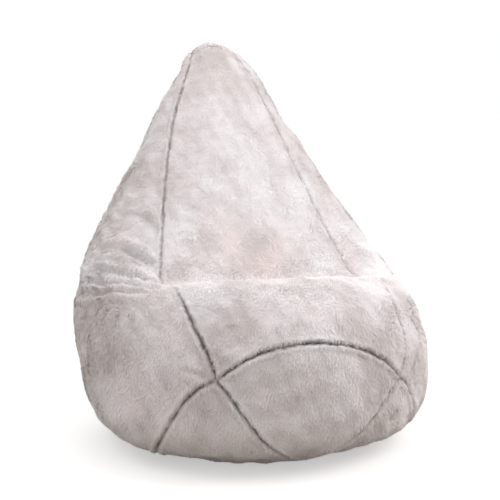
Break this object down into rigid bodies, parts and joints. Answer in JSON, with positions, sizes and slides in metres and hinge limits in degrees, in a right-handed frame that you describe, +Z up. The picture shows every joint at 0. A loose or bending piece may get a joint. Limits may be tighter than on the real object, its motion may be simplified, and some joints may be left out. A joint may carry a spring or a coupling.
{
  "type": "bean bag chair",
  "caption": "High-backed bean bag chair in short faux fur: panelled cover with a zip in its back, and an inner liner that holds the bead filling.",
  "frame": {"origin": "middle of the chair's overall box, at floor level", "axes": "+X to the right when looking at the front of the seat (the sitter's left), -Y out of the front of the seat, +Z up"},
  "size_m": [0.8758, 0.95, 1],
  "materials": {
    "fur": "short dense faux fur, pinkish greige, with a brushed nap",
    "zip_tape": "woven polyester zip tape",
    "zip_coil": "polyester coil",
    "zip_metal": "nickel-plated zinc, tumbled",
    "liner": "off-white woven polyester",
    "beads": "expanded polystyrene beads",
    "label": "blank white woven ribbon"
  },
  "bodies": {
    "root": {"front_panel": "fur", "left_side_panel": "fur", "right_side_panel": "fur", "back_left_panel": "fur", "back_right_panel": "fur", "front_lens_panel": "fur", "base_panel": "fur", "zip_tape_left": "zip_tape", "zip_tape_right": "zip_tape", "zip_coil_left": "zip_coil", "zip_coil_right": "zip_coil", "zip_closed_stop_left": "zip_metal", "zip_closed_stop_right": "zip_metal", "zip_open_stop": "zip_metal", "care_label": "label", "liner_front": "liner", "liner_back_left": "liner", "liner_back_right": "liner", "liner_base": "liner", "liner_zip_tape_left": "zip_tape", "liner_zip_tape_right": "zip_tape", "liner_zip_coil_left": "zip_coil", "liner_zip_coil_right": "zip_coil", "liner_zip_closed_stop_left": "zip_metal", "liner_zip_closed_stop_right": "zip_metal", "liner_zip_open_stop": "zip_metal", "bean_fill": "beads"},
    "zip_slider": {"zip_slider": "zip_metal"},
    "zip_pull": {"zip_pull": "zip_metal"},
    "liner_zip_slider": {"liner_zip_slider": "zip_metal"}
  },
  "joints": [
    {"name": "zip_slide", "type": "slide", "parent": "root", "child": "zip_slider", "axis": [0, -0.2311, 0.9729], "range_m": [0, 0.345]},
    {"name": "zip_pull_hinge", "type": "hinge", "parent": "zip_slider", "child": "zip_pull", "pos_m": [0, 0.43753, 0.45481], "axis": [1, 0, 0], "range_deg": [0, 150]},
    {"name": "liner_zip_slide", "type": "slide", "parent": "root", "child": "liner_zip_slider", "axis": [0, -0.2311, 0.9729], "range_m": [0, 0.291]}
  ]
}
